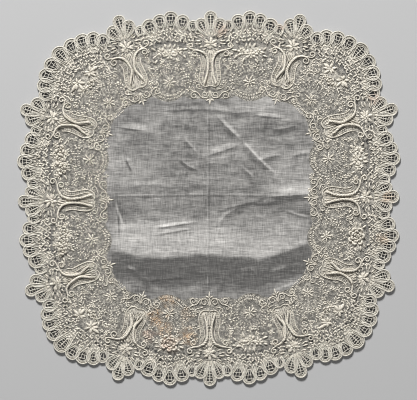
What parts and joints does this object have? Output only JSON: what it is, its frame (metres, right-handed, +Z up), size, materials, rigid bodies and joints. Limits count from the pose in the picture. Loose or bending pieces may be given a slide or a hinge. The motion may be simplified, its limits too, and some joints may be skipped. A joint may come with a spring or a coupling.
{
  "type": "lace handkerchief",
  "caption": "Square white lace handkerchief laid flat: a sheer linen centre in a wide needle-lace border with raised scrolls, sprays and a scalloped edge.",
  "frame": {"origin": "middle of the cloth's box, on the surface it lies on", "axes": "+Z up out of the cloth's face, +X and +Y along its sides, +Y to the top of the cloth as it is looked at"},
  "size_m": [0.3999, 0.3918, 0.003],
  "materials": {
    "linen": "sheer fine plain-weave linen, matt",
    "lace_ground": "open cotton net and buttonholed edge, matt",
    "stitching": "raised ivory needle-lace stitching, matt"
  },
  "bodies": {
    "root": {"linen_centre": "linen", "lace_border": "lace_ground", "scroll_01": "stitching", "scroll_02": "stitching", "scroll_03": "stitching", "scroll_04": "stitching", "scroll_05": "stitching", "scroll_06": "stitching", "scroll_07": "stitching", "scroll_08": "stitching", "scroll_09": "stitching", "scroll_10": "stitching", "scroll_11": "stitching", "scroll_12": "stitching", "spray_01": "stitching", "spray_02": "stitching", "spray_03": "stitching", "spray_04": "stitching", "spray_05": "stitching", "spray_06": "stitching", "spray_07": "stitching", "spray_08": "stitching", "spray_09": "stitching", "spray_10": "stitching", "spray_11": "stitching", "spray_12": "stitching", "flower_01": "stitching", "flower_02": "stitching", "flower_03": "stitching", "flower_04": "stitching", "flower_05": "stitching", "flower_06": "stitching", "flower_07": "stitching", "flower_08": "stitching", "flower_09": "stitching", "flower_10": "stitching", "flower_11": "stitching", "flower_12": "stitching"}
  },
  "joints": []
}
